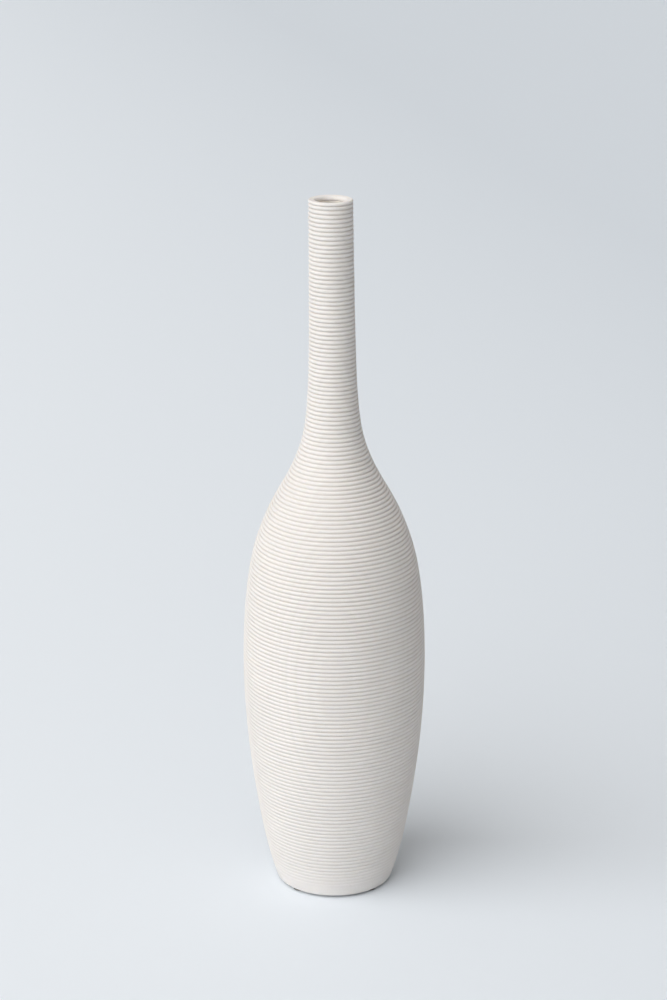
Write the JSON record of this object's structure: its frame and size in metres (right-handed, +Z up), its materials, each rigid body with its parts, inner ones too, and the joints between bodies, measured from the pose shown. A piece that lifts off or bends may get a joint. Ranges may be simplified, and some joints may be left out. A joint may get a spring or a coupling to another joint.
{
  "type": "bud vase",
  "caption": "Tall bottle-shaped ceramic bud vase with a long narrow neck, an egg-shaped belly, fine horizontal ribs, a glaze lining and felt pads under its foot.",
  "frame": {"origin": "on the surface that the vase stands on, at the middle of the foot", "axes": "+Z up along the axis that the vase is turned about; +X and +Y lie between the foot pads"},
  "size_m": [0.0904, 0.0904, 0.35],
  "materials": {
    "bisque_clay": "matte, unglazed, finely ribbed",
    "lining_glaze": "satin clear glaze over warm clay",
    "pad_felt": "pressed felt"
  },
  "bodies": {
    "root": {"vase_body": "bisque_clay", "glaze_lining": "lining_glaze", "foot_pad_1": "pad_felt", "foot_pad_2": "pad_felt", "foot_pad_3": "pad_felt", "foot_pad_4": "pad_felt"}
  },
  "joints": []
}
